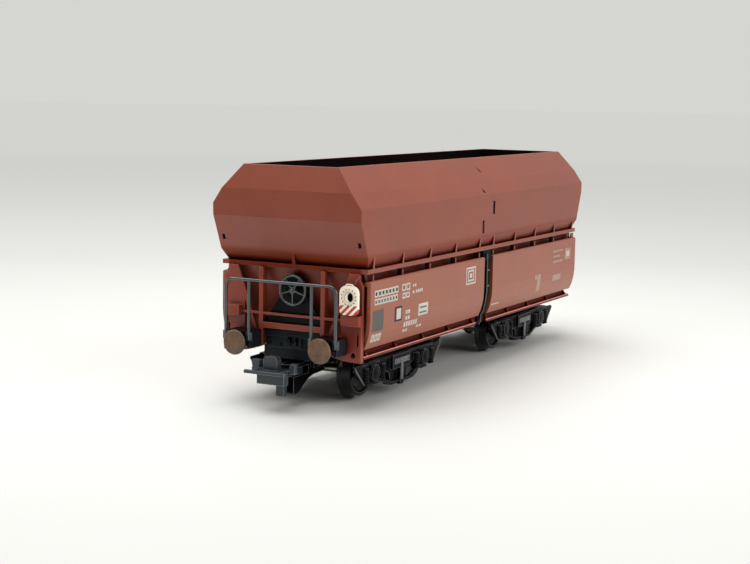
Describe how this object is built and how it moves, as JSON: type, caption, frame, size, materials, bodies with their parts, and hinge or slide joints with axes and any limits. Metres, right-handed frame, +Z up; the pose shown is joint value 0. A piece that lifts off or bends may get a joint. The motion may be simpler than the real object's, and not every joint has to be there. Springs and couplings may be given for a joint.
{
  "type": "model hopper wagon",
  "caption": "Small-scale model of an open bogie hopper wagon with side discharge flaps, swivelling bogies and a hand-brake end.",
  "frame": {"origin": "centre of the footprint, on the floor the wheel flanges stand on", "axes": "+Z up, X along the wagon with the hand-brake end at -X, -Y is the right-hand side seen from mid-length facing the hand-brake end"},
  "size_m": [0.141, 0.0354, 0.0496],
  "materials": {
    "red_plastic": "matte",
    "dark_red_plastic": "matte",
    "black_plastic": "matte",
    "grey_metal": "satin",
    "lamp_board": "matte",
    "brown_metal": "matte",
    "wheel_metal": "satin",
    "axle_steel": "satin"
  },
  "bodies": {
    "wagon": {"upper_hopper": "red_plastic", "waist_rail": "red_plastic", "end_slope_brake": "red_plastic", "end_slope_plain": "red_plastic", "centre_saddle": "black_plastic", "centre_sill": "black_plastic", "bolster_brake": "black_plastic", "bolster_plain": "black_plastic", "end_frame_brake": "red_plastic", "end_frame_plain": "red_plastic", "headstock_brake": "black_plastic", "headstock_plain": "black_plastic", "chute_right": "dark_red_plastic", "chute_left": "dark_red_plastic", "buffer_brake_right": "brown_metal", "buffer_brake_left": "brown_metal", "buffer_plain_right": "brown_metal", "buffer_plain_left": "brown_metal", "handrail": "grey_metal", "brake_wheel": "grey_metal", "tail_lamp": "lamp_board", "lock_rod_right": "black_plastic", "lock_rod_left": "black_plastic"},
    "flap_brake_right": {"flap_brake_right": "red_plastic"},
    "flap_brake_left": {"flap_brake_left": "red_plastic"},
    "flap_plain_right": {"flap_plain_right": "red_plastic"},
    "flap_plain_left": {"flap_plain_left": "red_plastic"},
    "bogie_brake": {"bogie_brake": "black_plastic"},
    "bogie_plain": {"bogie_plain": "black_plastic"},
    "coupler_brake": {"coupler_brake": "black_plastic"},
    "coupler_plain": {"coupler_plain": "black_plastic"},
    "wheelset_1": {"axle_1": "axle_steel", "wheel_1_right": "wheel_metal", "wheel_1_left": "wheel_metal"},
    "wheelset_2": {"axle_2": "axle_steel", "wheel_2_right": "wheel_metal", "wheel_2_left": "wheel_metal"},
    "wheelset_3": {"axle_3": "axle_steel", "wheel_3_right": "wheel_metal", "wheel_3_left": "wheel_metal"},
    "wheelset_4": {"axle_4": "axle_steel", "wheel_4_right": "wheel_metal", "wheel_4_left": "wheel_metal"}
  },
  "joints": [
    {"name": "flap_brake_right_hinge", "type": "hinge", "parent": "wagon", "child": "flap_brake_right", "pos_m": [-0.0307, -0.0164, 0.0263], "axis": [-1, 0, 0], "range_deg": [0, 25]},
    {"name": "flap_plain_right_hinge", "type": "hinge", "parent": "wagon", "child": "flap_plain_right", "pos_m": [0.0307, -0.0164, 0.0263], "axis": [-1, 0, 0], "range_deg": [0, 25]},
    {"name": "flap_brake_left_hinge", "type": "hinge", "parent": "wagon", "child": "flap_brake_left", "pos_m": [-0.0307, 0.0164, 0.0263], "axis": [1, 0, 0], "range_deg": [0, 25]},
    {"name": "flap_plain_left_hinge", "type": "hinge", "parent": "wagon", "child": "flap_plain_left", "pos_m": [0.0307, 0.0164, 0.0263], "axis": [1, 0, 0], "range_deg": [0, 25]},
    {"name": "bogie_brake_swivel", "type": "hinge", "parent": "wagon", "child": "bogie_brake", "pos_m": [-0.0352, 0, 0.009], "axis": [0, 0, 1], "range_deg": [-8, 8]},
    {"name": "bogie_plain_swivel", "type": "hinge", "parent": "wagon", "child": "bogie_plain", "pos_m": [0.0352, 0, 0.009], "axis": [0, 0, 1], "range_deg": [-8, 8]},
    {"name": "wheelset_1_spin", "type": "hinge", "parent": "bogie_brake", "child": "wheelset_1", "pos_m": [-0.0471, 0, 0.0062], "axis": [0, 1, 0], "continuous": true},
    {"name": "wheelset_2_spin", "type": "hinge", "parent": "bogie_brake", "child": "wheelset_2", "pos_m": [-0.0233, 0, 0.0062], "axis": [0, 1, 0], "continuous": true},
    {"name": "wheelset_3_spin", "type": "hinge", "parent": "bogie_plain", "child": "wheelset_3", "pos_m": [0.0233, 0, 0.0062], "axis": [0, 1, 0], "continuous": true},
    {"name": "wheelset_4_spin", "type": "hinge", "parent": "bogie_plain", "child": "wheelset_4", "pos_m": [0.0471, 0, 0.0062], "axis": [0, 1, 0], "continuous": true},
    {"name": "coupler_brake_swing", "type": "hinge", "parent": "bogie_brake", "child": "coupler_brake", "pos_m": [-0.0578, 0, 0.0072], "axis": [0, 0, 1], "range_deg": [-8, 8]},
    {"name": "coupler_plain_swing", "type": "hinge", "parent": "bogie_plain", "child": "coupler_plain", "pos_m": [0.0578, 0, 0.0072], "axis": [0, 0, 1], "range_deg": [-8, 8]}
  ]
}
